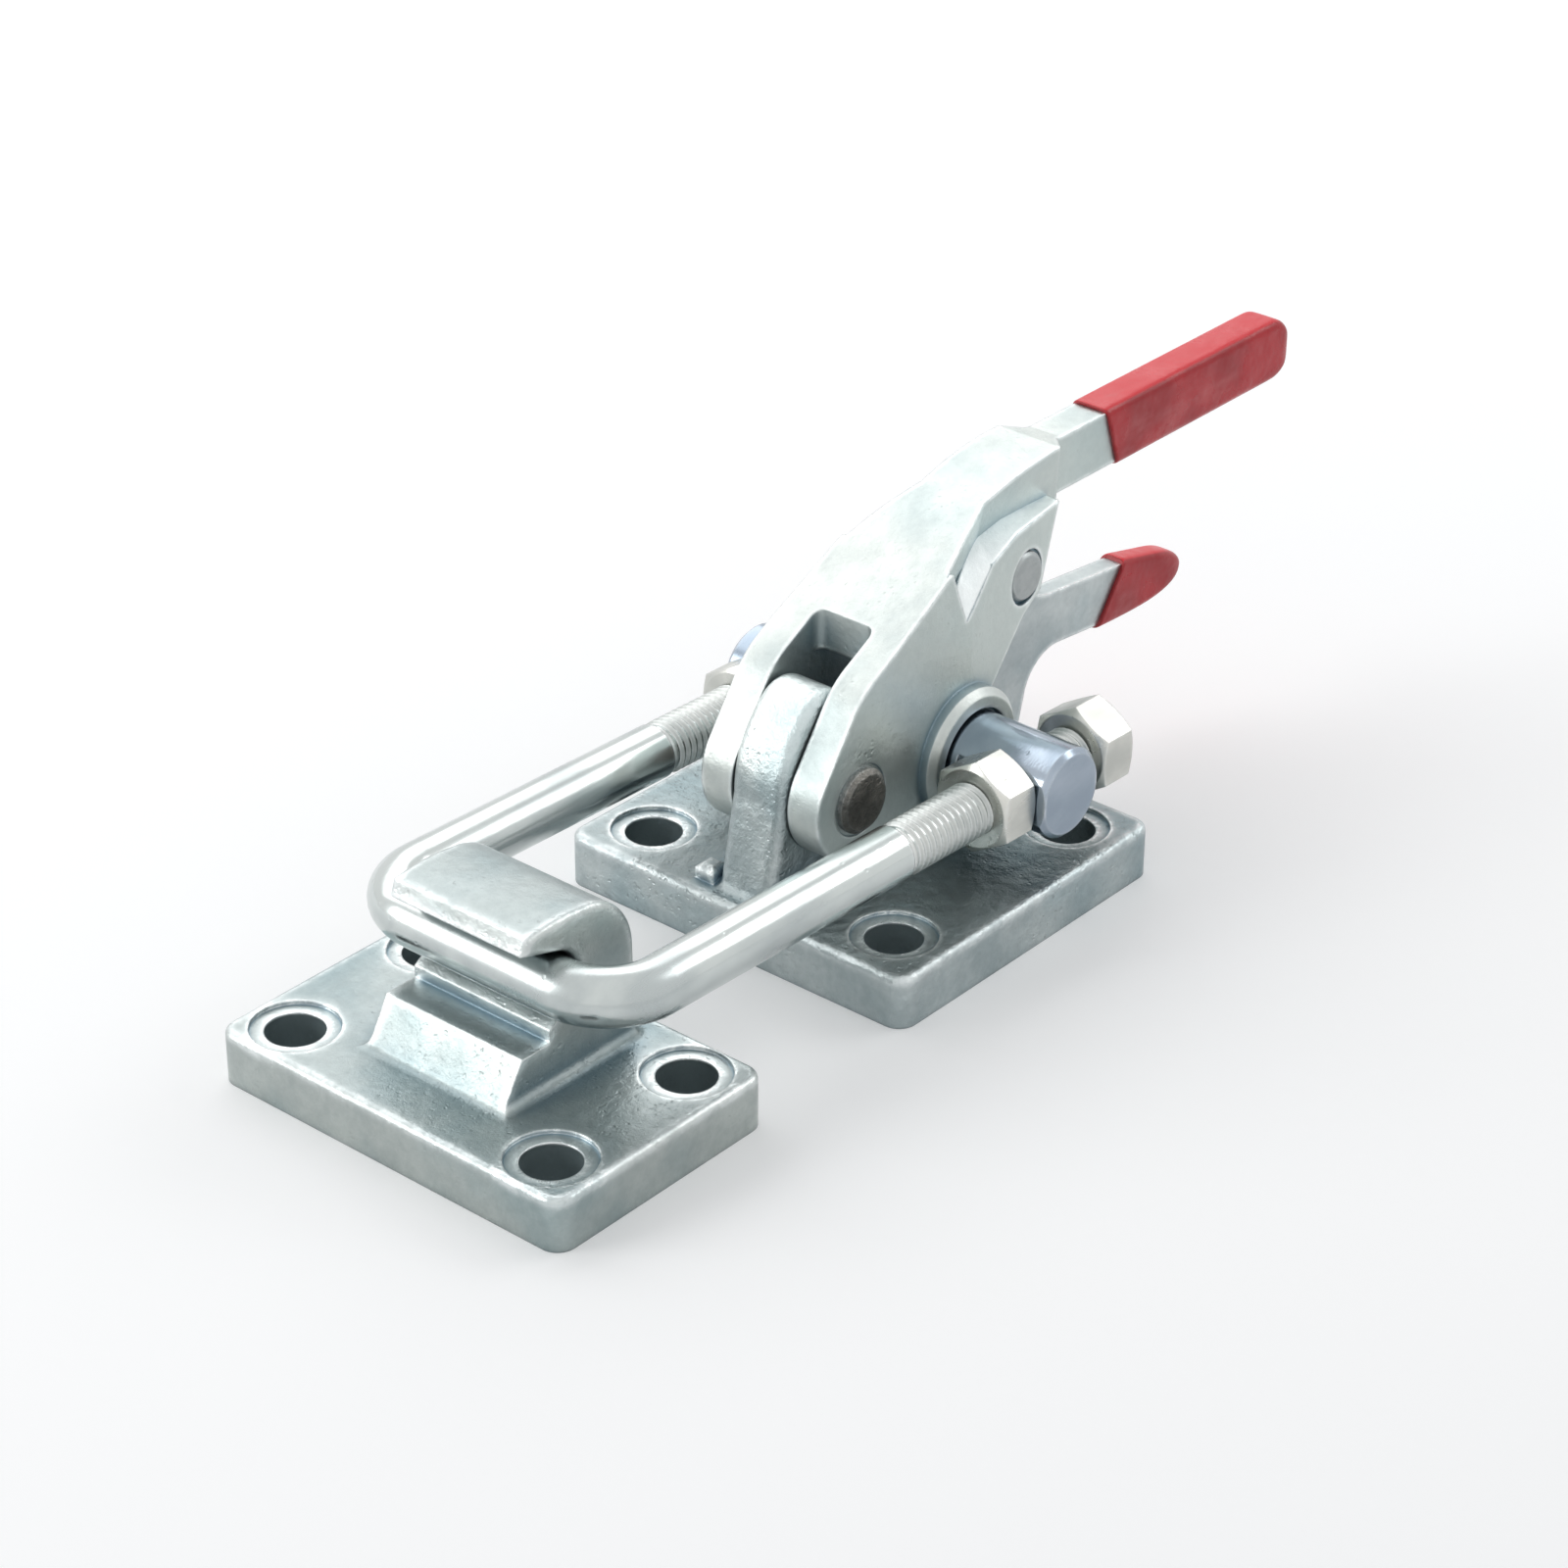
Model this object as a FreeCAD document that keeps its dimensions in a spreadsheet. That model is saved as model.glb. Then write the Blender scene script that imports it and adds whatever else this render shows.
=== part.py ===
"""Over centre toggle latch of the heavy U-bolt pattern, zinc plated, with a release trigger.

Frame, in millimetres: the origin is the centre of the base's bolt pattern on its underside,
+X runs from the catch plate to the handle's end and +Z is up. Both plates stand on Z = 0.
The handle is closed: the U-bolt's crossbar sits in the claw of the catch plate.
"""
import FreeCAD, Part
import math
import os

import Sketcher

V = FreeCAD.Vector
DOC = FreeCAD.newDocument("toggle_latch")
SHEET = DOC.addObject("Spreadsheet::Sheet", "sizes")

# Driving dimensions, in millimetres and degrees
DIMENSIONS = (
    # Both plates
    ("plate_width", 96.5),
    ("plate_thick", 12.5),
    ("plate_corner", 4.5),
    ("plate_edge", 1.5),
    ("bolt_hole", 13.0),
    ("spot_face", 19.4),
    ("spot_depth", 0.9),
    ("foot_fillet", 2.5),
    # Base
    ("base_length", 89.0),
    ("base_bolts_along", 61.0),
    ("base_bolts_across", 69.0),
    # Catch plate, placed from the crossbar that it holds
    ("catch_ahead", 30.53),
    ("catch_length", 62.0),
    ("catch_bolts_along", 40.0),
    ("catch_bolts_across", 72.4),
    # Claw of the catch plate, measured from the crossbar's axis
    ("claw_width", 38.0),
    ("seat_play", 0.95),
    ("seat_top_angle", 73.0),
    ("seat_low_angle", -70.0),
    ("cap_top", 13.9),
    ("cap_overhang", 8.8),
    ("cap_nose", 3.7),
    ("cap_lean", 1.3),
    ("cap_length", 18.6),
    ("cap_crown", 54.0),
    ("cap_edge", 1.5),
    ("claw_back", 24.0),
    ("claw_draft", 0.7),
    ("claw_back_radius", 15.0),
    ("lip_ahead", 2.2),
    ("lip_height", 13.2),
    ("shelf_height", 10.4),
    ("shelf_depth", 8.2),
    ("ramp_run", 6.4),
    # Main pivot and the lug that carries it
    ("pivot_back", 20.5),
    ("pivot_height", 34.5),
    ("pin_dia", 13.0),
    ("pin_head_dia", 15.0),
    ("pin_head", 2.2),
    ("pin_seat_dia", 16.8),
    ("pin_seat", 0.4),
    ("bush_wall", 2.5),
    ("lug_width", 15.0),
    ("lug_foot", 20.0),
    ("lug_reach", 15.4),
    ("lug_flank", 26.0),
    ("lug_shoulder", 20.964),
    ("lug_shoulder_half", 5.148),
    ("lug_crown", 8.5),
    ("lug_edge", 2.8),
    ("stop_pad_length", 5.5),
    ("stop_pad_height", 3.6),
    ("stop_pad_width", 5.5),
    ("stop_pad_edge", 1.8),
    # Draw bar: trunnion, U-bolt and nuts
    ("trunnion_ahead", 36.5),
    ("trunnion_drop", 3.5),
    ("trunnion_dia", 21.0),
    ("trunnion_past_arm", 11.9),
    ("trunnion_flat", 1.2),
    ("trunnion_chamfer", 1.2),
    ("rod_dia", 12.7),
    ("rod_chamfer", 1.3),
    ("thread_root_dia", 11.0),
    ("thread_reach", 47.0),
    ("arm_spacing", 67.6),
    ("draw_length", 134.6),
    ("draw_tilt", 1.87),
    ("bend_radius", 14.0),
    ("arm_tail", 28.5),
    ("back_nut_slack", 6.0),
    ("nut_flats", 19.0),
    ("nut_thick", 10.8),
    # Handle
    ("lobe_radius", 14.2),
    ("handle_width", 33.0),
    ("slot_width", 16.0),
    ("waist_width", 31.0),
    ("ear_width", 21.0),
    ("ear_slot", 12.0),
    ("neck_width", 17.6),
    ("bar_width", 8.8),
    ("bar_top", 87.0),
    ("bar_depth", 13.6),
    ("bar_end", 152.0),
    ("neck_top", 88.0),
    ("neck_lean", 10.0),
    ("crest_radius", 96.0),
    ("boss_radius", 15.6),
    ("boss_proud", 3.1),
    ("boss_bevel", 1.6),
    ("boss_relief", 0.9),
    ("window_corner", 2.5),
    # Grips
    ("grip_wall", 1.0),
    ("grip_start", 80.0),
    ("grip_edge", 2.0),
    ("grip_slant", 5.0),
    ("grip_low_corner", 7.2),
    ("grip_top_corner", 7.8),
    ("tail_tip", 3.2),
    # Trigger, with its pin measured from the frame's origin
    ("trigger_ahead", 42.5),
    ("trigger_height", 62.5),
    ("trigger_thick", 5.0),
    ("trigger_eye", 7.5),
    ("trigger_pin_dia", 8.0),
    ("trigger_pin_head_dia", 11.8),
    ("trigger_pin_head", 1.8),
    ("trigger_seat_dia", 13.2),
    ("trigger_seats_apart", 20.8),
    ("spacer_dia", 12.0),
    # Lock between the trigger's tooth and the base
    ("lock_ahead", 30.5),
    ("lock_post", 7.5),
    ("lock_lip", 3.2),
    ("lock_height", 25.5),
    ("lock_lip_thick", 3.4),
    ("lock_width", 11.0),
    # Trigger spring and the small pin it presses on
    ("wire_dia", 1.0),
    ("coil_dia", 10.4),
    ("coil_pitch", 1.05),
    ("coil_turns", 2.0),
    ("coil_turn", 18.5),
    ("long_leg", 16.5),
    ("short_leg", 6.8),
    ("spring_pin_ahead", 7.5),
    ("spring_pin_drop", 12.5),
    ("spring_pin_dia", 3.0),
    # Fits
    ("running_gap", 0.06),
    ("press_gap", 0.01),
    ("side_gap", 0.2),
    ("seat_gap", 0.35),
)

for row, (alias, number) in enumerate(DIMENSIONS, start=1):
    SHEET.set(f"A{row}", alias)
    SHEET.set(f"B{row}", str(number))
    SHEET.setAlias(f"B{row}", alias)
DOC.recompute()


class Size:
    """A number together with the sheet formula that gives it."""

    def __init__(self, value, text):
        self.value = float(value)
        self.text = text

    def __add__(self, other):
        other = size(other)
        return Size(self.value + other.value, f"({self.text} + {other.text})")

    def __sub__(self, other):
        other = size(other)
        return Size(self.value - other.value, f"({self.text} - {other.text})")

    def __mul__(self, other):
        other = size(other)
        return Size(self.value * other.value, f"({self.text} * {other.text})")

    def __truediv__(self, other):
        other = size(other)
        return Size(self.value / other.value, f"({self.text} / {other.text})")

    def __neg__(self):
        return Size(-self.value, f"(0 - {self.text})")

    def __radd__(self, other):
        return size(other) + self

    def __rsub__(self, other):
        return size(other) - self

    def __rmul__(self, other):
        return size(other) * self


def size(number):
    """A plain number as a Size; a Size stays as it is."""
    if isinstance(number, Size):
        return number
    return Size(number, f"({number:.6f})")


def cosine(angle):
    angle = size(angle)
    return Size(math.cos(math.radians(angle.value)), f"cos({angle.text} * 1 deg)")


def sine(angle):
    angle = size(angle)
    return Size(math.sin(math.radians(angle.value)), f"sin({angle.text} * 1 deg)")


def dim(alias):
    return Size(SHEET.get(alias), f"sizes.{alias}")


# Places that several pieces share, all worked out from the driving dimensions
HALF_WIDTH = dim("plate_width") / 2
BASE_END = dim("base_length") / 2
PLATE_TOP = dim("plate_thick")
PIVOT = (-dim("pivot_back"), dim("pivot_height"))
TRUNNION = (PIVOT[0] + dim("trunnion_ahead"), PIVOT[1] - dim("trunnion_drop"))
TRUNNION_LENGTH = dim("arm_spacing") + dim("trunnion_past_arm") * 2
CROSSBAR = (TRUNNION[0] - dim("draw_length") * cosine(dim("draw_tilt")),
            TRUNNION[1] + dim("draw_length") * sine(dim("draw_tilt")))
CATCH_BACK = CROSSBAR[0] + dim("catch_ahead")
CATCH_FRONT = CATCH_BACK - dim("catch_length")
TRIGGER = (dim("trigger_ahead"), dim("trigger_height"))
CENTRE = (0, 0)
ROD_RADIUS = dim("rod_dia") / 2
THREAD_ROOT = dim("thread_root_dia") / 2
HALF_ARMS = dim("arm_spacing") / 2
HALF_LEVER = dim("trigger_thick") / 2
HALF_SLOT = dim("ear_slot") / 2
HALF_HANDLE = dim("handle_width") / 2
BAR_BOTTOM = dim("bar_top") - dim("bar_depth")
NUT_SEAT = dim("trunnion_dia") / 2 - dim("trunnion_flat")

# The underside of the handle's web, then the bar's rounded end inside its dipped grip
WEB_UNDERSIDE = [(-5.5, 57.5), (12.0, 62.5), (28.0, 68.5), (50.0, 72.6), (62.0, BAR_BOTTOM)]
BAR_LOW_CORNER = dim("grip_low_corner") - dim("grip_wall")
BAR_TOP_CORNER = dim("grip_top_corner") - dim("grip_wall")
BAR_TIP = [
    (dim("bar_end") - BAR_LOW_CORNER, BAR_BOTTOM),
    (dim("bar_end"), BAR_BOTTOM + BAR_LOW_CORNER),
    (dim("bar_end"), dim("bar_top") - BAR_TOP_CORNER),
    (dim("bar_end") - BAR_TOP_CORNER, dim("bar_top")),
]

# The trigger's tail inside its dipped grip
TAIL_ROOT = [(64.0, 46.9), (68.0, 32.8)]
TAIL_BENDS = [(92.0, 43.9), (82.5, 31.3)]
TAIL_END = [(107.5, 40.4), (114.6, 36.2), (114.0, 32.6), (104.0, 30.0)]

# How far a pad starts inside the piece it grows from
INSIDE = 0.5


# Helpers for sketches, bodies and their features
def new_body(label):
    body = DOC.addObject("PartDesign::Body", label)
    body.Label = label
    return body


def plane(body, role):
    for feature in body.Origin.OriginFeatures:
        if feature.Role == role:
            return feature
    raise RuntimeError(role)


def new_sketch(body, name, role, offset=None):
    """A sketch on one of the body's own planes; an XZ sketch faces the near side, -Y."""
    sketch = body.newObject("Sketcher::SketchObject", name)
    sketch.AttachmentSupport = (plane(body, role), "")
    sketch.MapMode = "FlatFace"
    if offset is not None:
        sketch.setExpression("AttachmentOffset.Base.z", size(offset).text)
    return sketch


def bind(sketch, kind, geo, amount):
    """A radius constraint that follows the sheet."""
    row = sketch.addConstraint(Sketcher.Constraint(kind, geo, amount.value))
    sketch.setExpression(f"Constraints[{row}]", amount.text)


def hold(sketch, geo, end, point):
    """Two signed distances hold a point of the sketch at its place."""
    for kind, amount in zip(("DistanceX", "DistanceY"), point):
        amount = size(amount)
        row = sketch.addConstraint(Sketcher.Constraint(kind, -1, 1, geo, end, amount.value))
        sketch.setExpression(f"Constraints[{row}]", amount.text)


def arc_between(start, end, radius, turn):
    """The shorter arc from start to end; turn is 1 when it bends left and -1 when right."""
    chord = end - start
    half = chord.Length / 2
    across = V(-chord.y, chord.x, 0).normalize()
    rise = math.sqrt(max(radius * radius - half * half, 0.0))
    circle = Part.Circle((start + end) * 0.5 + across * (turn * rise), V(0, 0, 1), radius)
    first, last = (start, end) if turn > 0 else (end, start)
    return Part.ArcOfCircle(circle, circle.parameter(first), circle.parameter(last))


def chain(sketch, points, arcs, closed):
    """Lines and arcs from point to point; arcs maps an edge's index to (radius, turn)."""
    spots = [V(size(x).value, size(y).value, 0) for x, y in points]
    count = len(spots) if closed else len(spots) - 1
    ends = []
    for index in range(count):
        start = spots[index]
        end = spots[(index + 1) % len(spots)]
        if index in arcs:
            radius, turn = arcs[index]
            curve = arc_between(start, end, size(radius).value, turn)
            geo = sketch.addGeometry(curve, False)
            bind(sketch, "Radius", geo, size(radius))
            ends.append((geo, 1, 2) if turn > 0 else (geo, 2, 1))
        else:
            geo = sketch.addGeometry(Part.LineSegment(start, end), False)
            ends.append((geo, 1, 2))
    for index, (geo, start, end) in enumerate(ends):
        hold(sketch, geo, start, points[index])
        if index > 0 or closed:
            before = ends[index - 1]
            sketch.addConstraint(
                Sketcher.Constraint("Coincident", before[0], before[2], geo, start))
    if not closed:
        hold(sketch, ends[-1][0], ends[-1][2], points[-1])
    return sketch


def outline(sketch, points, arcs=None):
    return chain(sketch, points, arcs or {}, True)


def rectangle(sketch, low, high):
    return outline(sketch, [low, (high[0], low[1]), high, (low[0], high[1])])


def circles(sketch, centres, radius):
    for centre in centres:
        spot = V(size(centre[0]).value, size(centre[1]).value, 0)
        circle = Part.Circle(spot, V(0, 0, 1), size(radius).value)
        geo = sketch.addGeometry(circle, False)
        hold(sketch, geo, 3, centre)
        bind(sketch, "Radius", geo, size(radius))
    return sketch


def settle(feature):
    """Recomputes and stops at the first feature that does not work."""
    DOC.recompute()
    if "Invalid" in feature.State or feature.Shape.isNull():
        raise RuntimeError(f"{feature.Label}: {feature.State}")
    return feature


def extrude(body, kind, sketch, length, side, reverse):
    feature = body.newObject(f"PartDesign::{kind}", f"{sketch.Name}_{kind.lower()}")
    feature.Profile = sketch
    feature.SideType = side
    feature.Reversed = reverse
    feature.setExpression("Length", size(length).text)
    return settle(feature)


def pad(body, sketch, length, side="Symmetric", reverse=False):
    return extrude(body, "Pad", sketch, length, side, reverse)


def cut(body, sketch, length, side="Symmetric", reverse=False):
    """A pocket that has to take something away."""
    before = body.Shape.Volume
    feature = extrude(body, "Pocket", sketch, length, side, reverse)
    if body.Shape.Volume > before - 1e-6:
        raise RuntimeError(f"{sketch.Name} cuts nothing")
    return feature


def turn_off(body, sketch, centre_y):
    """A full groove about the U-bolt arm whose axis lies at Y = centre_y."""
    middle = V(0, centre_y.value, 0)
    axis = sketch.addGeometry(Part.LineSegment(middle, middle + V(10, 0, 0)), True)
    hold(sketch, axis, 1, (0, centre_y))
    hold(sketch, axis, 2, (10, centre_y))
    groove = body.newObject("PartDesign::Groove", sketch.Name + "_groove")
    groove.Profile = sketch
    groove.ReferenceAxis = (sketch, ["Axis0"])
    groove.Angle = 360
    return settle(groove)


def dress(body, kind, amount, test):
    """A fillet or chamfer on the edges that the test picks."""
    names = []
    for index, edge in enumerate(body.Shape.Edges, start=1):
        if test(edge, edge.CenterOfMass):
            names.append(f"Edge{index}")
    if not names:
        raise RuntimeError(f"{body.Label}: no edge for its {kind}")
    base = body.Tip
    feature = body.newObject(f"PartDesign::{kind}", f"{body.Name}_{kind.lower()}")
    feature.Base = (base, names)
    feature.setExpression("Radius" if kind == "Fillet" else "Size", size(amount).text)
    return settle(feature)


def along(edge, axis):
    """True for a straight edge along X, Y or Z (0, 1 or 2)."""
    if edge.Curve.TypeId != "Part::GeomLine":
        return False
    return abs(abs(edge.tangentAt(edge.FirstParameter)[axis]) - 1) < 1e-6


def level(edge, height):
    """True for an edge that lies flat at one height."""
    box = edge.BoundBox
    return abs(box.ZMin - height) < 1e-4 and abs(box.ZMax - height) < 1e-4


def on_side(middle, half):
    """True for an edge that lies in one of the two side faces."""
    return abs(abs(middle.y) - half) < 1e-4


def place(feature, spot, turn=None):
    """Puts a body at (x, z) on the middle plane, turned about Y by an angle in degrees."""
    feature.setExpression("Placement.Base.x", spot[0].text)
    feature.setExpression("Placement.Base.z", spot[1].text)
    if turn is not None:
        feature.Placement.Rotation = FreeCAD.Rotation(V(0, 1, 0), abs(turn.value))
        if turn.value < 0:
            feature.Placement.Rotation = FreeCAD.Rotation(V(0, -1, 0), abs(turn.value))
            turn = -turn
        feature.setExpression("Placement.Rotation.Angle", f"{turn.text} * 1 deg")
    DOC.recompute()


# Both plates start from the same rounded block and end with four spot-faced bolt holes
def start_plate(body, front, back):
    block = rectangle(new_sketch(body, body.Name + "_plan", "XY_Plane"),
                      (front, -HALF_WIDTH), (back, HALF_WIDTH))
    pad(body, block, PLATE_TOP, "One side")
    dress(body, "Fillet", dim("plate_corner"), lambda edge, middle: along(edge, 2))
    dress(body, "Fillet", dim("plate_edge"),
          lambda edge, middle: level(edge, PLATE_TOP.value))


def drill_plate(body, middle, along_spacing, across_spacing):
    centres = []
    for side_x in (-0.5, 0.5):
        for side_y in (-0.5, 0.5):
            centres.append((middle + along_spacing * side_x, across_spacing * side_y))
    holes = circles(new_sketch(body, body.Name + "_holes", "XY_Plane"),
                    centres, dim("bolt_hole") / 2)
    cut(body, holes, PLATE_TOP * 2 + INSIDE)
    spots = circles(new_sketch(body, body.Name + "_spots", "XY_Plane",
                               PLATE_TOP - dim("spot_depth")),
                    centres, dim("spot_face") / 2)
    cut(body, spots, dim("spot_depth") + INSIDE, "One side", True)


def round_foot(body, low, high, half):
    """The fillet where a casting's upright meets the plate's top."""
    dress(body, "Fillet", dim("foot_fillet"),
          lambda edge, middle: level(edge, PLATE_TOP.value)
          and low < middle.x < high and abs(middle.y) < half + 0.1)


def catch_plate():
    body = new_body("catch_plate")
    start_plate(body, CATCH_FRONT, CATCH_BACK)
    bar_x, bar_z = CROSSBAR
    seat = ROD_RADIUS + dim("seat_play")
    seat_x = bar_x - (dim("seat_play") - dim("seat_gap"))
    low = dim("seat_low_angle")
    high = dim("seat_top_angle")
    lip = bar_x - dim("lip_ahead")
    shelf = lip - dim("shelf_depth")
    foot = shelf - dim("ramp_run")
    nose = bar_x - dim("cap_overhang")
    top = bar_z + dim("cap_top")
    back = bar_x + dim("claw_back")
    claw = new_sketch(body, "claw_side", "XZ_Plane")
    outline(claw, [
        (foot, PLATE_TOP - INSIDE),
        (back, PLATE_TOP - INSIDE),
        (back - dim("claw_draft"), bar_z),
        (nose + dim("cap_length"), top),
        (nose + dim("cap_lean"), top),
        (nose, top - dim("cap_nose")),
        (seat_x + seat * cosine(high), bar_z + seat * sine(high)),
        (seat_x + seat * cosine(low), bar_z + seat * sine(low)),
        (lip, PLATE_TOP + dim("lip_height")),
        (lip, PLATE_TOP + dim("shelf_height")),
        (shelf, PLATE_TOP + dim("shelf_height")),
    ], {2: (dim("claw_back_radius"), 1), 3: (dim("cap_crown"), 1), 6: (seat, -1)})
    pad(body, claw, dim("claw_width"))
    half = dim("claw_width").value / 2
    cap_z = bar_z.value + 2
    dress(body, "Fillet", dim("cap_edge"),
          lambda edge, middle: on_side(middle, half) and middle.z > cap_z
          and middle.x > nose.value and middle.z > top.value - 9)
    round_foot(body, foot.value - 1, back.value + 1, half)
    drill_plate(body, (CATCH_FRONT + CATCH_BACK) / 2,
                dim("catch_bolts_along"), dim("catch_bolts_across"))
    return body


def base_plate():
    body = new_body("base_plate")
    start_plate(body, -BASE_END, BASE_END)
    px, pz = PIVOT
    shoulder = pz + dim("lug_shoulder")
    crown = dim("lug_crown")
    crown_x = dim("lug_shoulder_half")
    reach = dim("lug_reach")
    front = px - dim("lug_foot")
    rear = px + dim("lug_foot")
    flank = (dim("lug_flank"), 1)
    lug = outline(new_sketch(body, "lug_side", "XZ_Plane"), [
        (front, PLATE_TOP - INSIDE),
        (rear, PLATE_TOP - INSIDE),
        (px + reach, pz),
        (px + crown_x, shoulder),
        (px - crown_x, shoulder),
        (px - reach, pz),
    ], {2: flank, 3: (crown, 1), 4: flank})
    pad(body, lug, dim("lug_width"))
    half = dim("lug_width").value / 2
    dress(body, "Fillet", dim("lug_edge"),
          lambda edge, middle: on_side(middle, half) and middle.z > PLATE_TOP.value + 1)
    round_foot(body, front.value - 1, rear.value + 1, half)
    # The pads beside the lug that stop the handle's lobes
    pads = new_sketch(body, "stop_pads", "XY_Plane", PLATE_TOP - INSIDE)
    inner = dim("lug_width") / 2 + 0.6
    outer = inner + dim("stop_pad_width")
    rectangle(pads, (front, inner), (front + dim("stop_pad_length"), outer))
    rectangle(pads, (front, -outer), (front + dim("stop_pad_length"), -inner))
    pad(body, pads, dim("stop_pad_height") + INSIDE, "One side")
    pad_top = PLATE_TOP.value + dim("stop_pad_height").value
    dress(body, "Fillet", dim("stop_pad_edge"),
          lambda edge, middle: level(edge, pad_top) and abs(middle.y) > half + 0.5)
    # The post whose lip holds the trigger's tooth
    post_x = dim("lock_ahead")
    post_end = post_x + dim("lock_post")
    lip_end = post_end + dim("lock_lip")
    lock_z = dim("lock_height")
    lip_z = lock_z - dim("lock_lip_thick")
    post = new_sketch(body, "lock_post_side", "XZ_Plane")
    outline(post, [
        (post_x - 3, PLATE_TOP - INSIDE),
        (post_end, PLATE_TOP - INSIDE),
        (post_end, lip_z),
        (lip_end, lip_z),
        (lip_end, lip_z + 1),
        (post_end - 1, lock_z),
        (post_x + 1.5, lock_z),
        (post_x, lock_z - 2.5),
    ])
    pad(body, post, dim("lock_width"))
    bore = circles(new_sketch(body, "lug_bore", "XZ_Plane"), [PIVOT],
                   dim("pin_dia") / 2 + dim("running_gap") + dim("bush_wall")
                   + dim("press_gap"))
    cut(body, bore, dim("lug_width") + 2)
    drill_plate(body, size(0), dim("base_bolts_along"), dim("base_bolts_across"))
    return body


def tube(label, spot, inner, outer, start, length):
    """A plain tube across the latch, from Y = start towards the far side."""
    body = new_body(label)
    ring = new_sketch(body, label + "_ring", "XZ_Plane", -start)
    circles(ring, [CENTRE], outer)
    circles(ring, [CENTRE], inner)
    pad(body, ring, length, "One side", True)
    place(body, spot)
    return body


def rivet(label, spot, shank, head, head_thick, half_span):
    """A pin across the handle with a bevelled head on each side."""
    body = new_body(label)
    pad(body, circles(new_sketch(body, label + "_shank", "XZ_Plane"), [CENTRE], shank),
        half_span * 2)
    for side, face, flip in (("near", half_span, False), ("far", -half_span, True)):
        disc = new_sketch(body, f"{label}_{side}_head", "XZ_Plane", face)
        circles(disc, [CENTRE], head)
        pad(body, disc, head_thick, "One side", flip)
    outer = (half_span + head_thick).value
    dress(body, "Chamfer", head_thick * 0.45,
          lambda edge, middle: on_side(middle, outer))
    place(body, spot)
    return body


def trunnion():
    body = new_body("trunnion")
    radius = dim("trunnion_dia") / 2
    pad(body, circles(new_sketch(body, "trunnion_round", "XZ_Plane"), [CENTRE], radius),
        TRUNNION_LENGTH)
    end = TRUNNION_LENGTH.value / 2
    dress(body, "Chamfer", dim("trunnion_chamfer"),
          lambda edge, middle: on_side(middle, end))
    holes = circles(new_sketch(body, "trunnion_holes", "YZ_Plane"),
                    [(-HALF_ARMS, 0), (HALF_ARMS, 0)],
                    ROD_RADIUS + dim("press_gap"))
    cut(body, holes, dim("trunnion_dia") + 2)
    flats = new_sketch(body, "trunnion_flats", "XY_Plane")
    reach = dim("nut_flats") / 2 + 2.5
    inner = HALF_ARMS - reach
    outer = TRUNNION_LENGTH / 2 + 1
    over = radius + 1
    rectangle(flats, (NUT_SEAT, inner), (over, outer))
    rectangle(flats, (NUT_SEAT, -outer), (over, -inner))
    rectangle(flats, (-over, inner), (-NUT_SEAT, outer))
    rectangle(flats, (-over, -outer), (-NUT_SEAT, -inner))
    cut(body, flats, dim("trunnion_dia") + 2)
    place(body, TRUNNION, dim("draw_tilt"))
    return body


def u_bolt():
    body = new_body("u_bolt")
    bend = dim("bend_radius")
    reach = -dim("draw_length")
    tail = dim("arm_tail")
    path = new_sketch(body, "u_bolt_path", "XY_Plane")
    chain(path, [
        (tail, -HALF_ARMS),
        (reach + bend, -HALF_ARMS),
        (reach, bend - HALF_ARMS),
        (reach, HALF_ARMS - bend),
        (reach + bend, HALF_ARMS),
        (tail, HALF_ARMS),
    ], {1: (bend, -1), 3: (bend, -1)}, False)
    section = circles(new_sketch(body, "u_bolt_section", "YZ_Plane", tail),
                      [(-HALF_ARMS, 0)], ROD_RADIUS)
    pipe = body.newObject("PartDesign::AdditivePipe", "u_bolt_pipe")
    pipe.Profile = section
    pipe.Spine = (path, [])
    settle(pipe)
    dress(body, "Chamfer", dim("rod_chamfer"),
          lambda edge, middle: abs(middle.x - tail.value) < 1e-4)
    # Both arms are turned down to the root of their thread
    for name, centre_y in (("near_thread", -HALF_ARMS), ("far_thread", HALF_ARMS)):
        ring = new_sketch(body, name, "XY_Plane")
        root = centre_y + THREAD_ROOT
        over = centre_y + ROD_RADIUS + 1
        rectangle(ring, (-dim("thread_reach"), root), (tail + 1, over))
        turn_off(body, ring, centre_y)
    place(body, TRUNNION, dim("draw_tilt"))
    return body


def nut(label, side_x, side_y):
    """A hex nut with both faces chamfered; the back ones are run a little off their flat."""
    body = new_body(label)
    seat = NUT_SEAT + dim("back_nut_slack") if side_x > 0 else NUT_SEAT
    start = seat * side_x
    far = (seat + dim("nut_thick")) * side_x
    centre_y = HALF_ARMS * side_y
    corner = dim("nut_flats") / 2 / cosine(30)
    points = []
    for angle in range(30, 390, 60):
        points.append((centre_y + corner * cosine(angle), corner * sine(angle)))
    hexagon = outline(new_sketch(body, label + "_hexagon", "YZ_Plane", start), points)
    pad(body, hexagon, dim("nut_thick"), "One side", side_x < 0)
    # The chamfers are one groove turned about the bolt's arm
    cone = new_sketch(body, label + "_corner", "XY_Plane")
    inner = dim("nut_flats") / 2 - 0.5
    outer = corner + 1
    slope = (outer - inner) * 0.6
    for face, inward in ((start, side_x), (far, -side_x)):
        outline(cone, [
            (face, centre_y + inner),
            (face, centre_y + outer),
            (face + slope * inward, centre_y + outer),
        ])
    turn_off(body, cone, centre_y)
    bore = circles(new_sketch(body, label + "_bore", "YZ_Plane"), [(centre_y, 0)],
                   THREAD_ROOT + dim("press_gap"))
    cut(body, bore, dim("nut_thick") * 5)
    place(body, TRUNNION, dim("draw_tilt"))
    return body


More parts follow.
